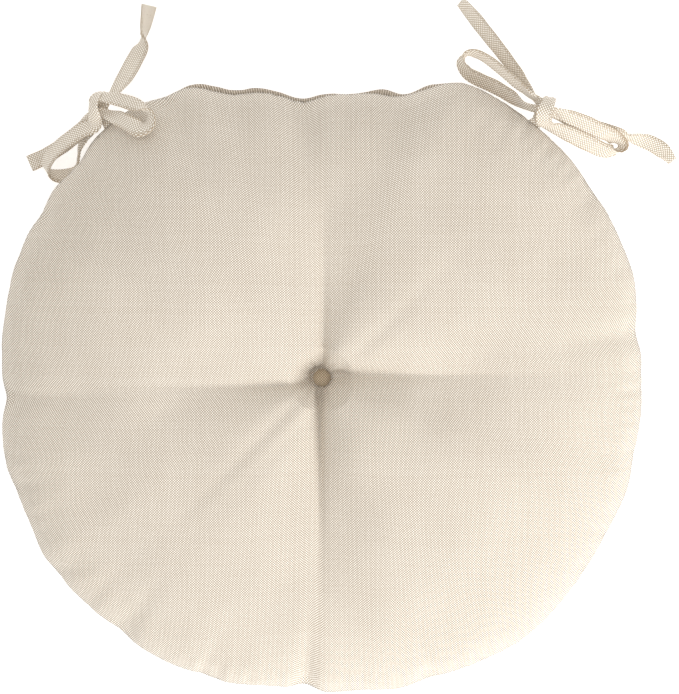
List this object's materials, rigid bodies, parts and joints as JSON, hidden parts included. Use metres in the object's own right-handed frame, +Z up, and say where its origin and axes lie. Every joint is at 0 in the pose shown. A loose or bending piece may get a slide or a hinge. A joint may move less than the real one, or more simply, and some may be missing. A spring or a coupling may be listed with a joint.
{
  "type": "chair seat pad",
  "caption": "Round padded seat pad of woven cotton, tufted in the middle into four soft lobes, with a bow of flat fabric ties at each back corner.",
  "frame": {"origin": "centre of the pad's own bounding box, ties left out, on the plane that its lower lobes rest on", "axes": "+Z up out of the seat, +Y towards the tied back edge, +X to the sitter's right"},
  "size_m": [0.424, 0.4362, 0.075],
  "materials": {
    "canvas": "matt plain weave",
    "strap": "matt plain weave, folded and edge-stitched",
    "thread": "spun sewing thread",
    "twine": "waxed twine",
    "fibre": "loose hollow fibre",
    "mould": "pressed shell"
  },
  "bodies": {
    "root": {"top_panel": "canvas", "bottom_panel": "canvas", "fibre_filling": "fibre", "seam_lockstitch": "thread", "closing_stitches": "thread", "tuft_twine": "twine", "top_button_cover": "canvas", "top_button_mould": "mould", "bottom_button_cover": "canvas", "bottom_button_mould": "mould", "left_tie_sewn_ends": "strap", "right_tie_sewn_ends": "strap", "left_tie_bar_tack": "thread", "right_tie_bar_tack": "thread"},
    "left_bow": {"left_tie_first_strap": "strap", "left_tie_second_strap": "strap", "left_tie_first_edge_stitching": "thread", "left_tie_second_edge_stitching": "thread"},
    "right_bow": {"right_tie_first_strap": "strap", "right_tie_second_strap": "strap", "right_tie_first_edge_stitching": "thread", "right_tie_second_edge_stitching": "thread"}
  },
  "joints": [
    {"name": "left_bow_swing", "type": "hinge", "parent": "root", "child": "left_bow", "pos_m": [-0.13314, 0.16634, 0.036], "axis": [0, 0, 1], "range_deg": [-10, 6]},
    {"name": "right_bow_swing", "type": "hinge", "parent": "root", "child": "right_bow", "pos_m": [0.13314, 0.16634, 0.036], "axis": [0, 0, 1], "range_deg": [-6, 10]}
  ]
}
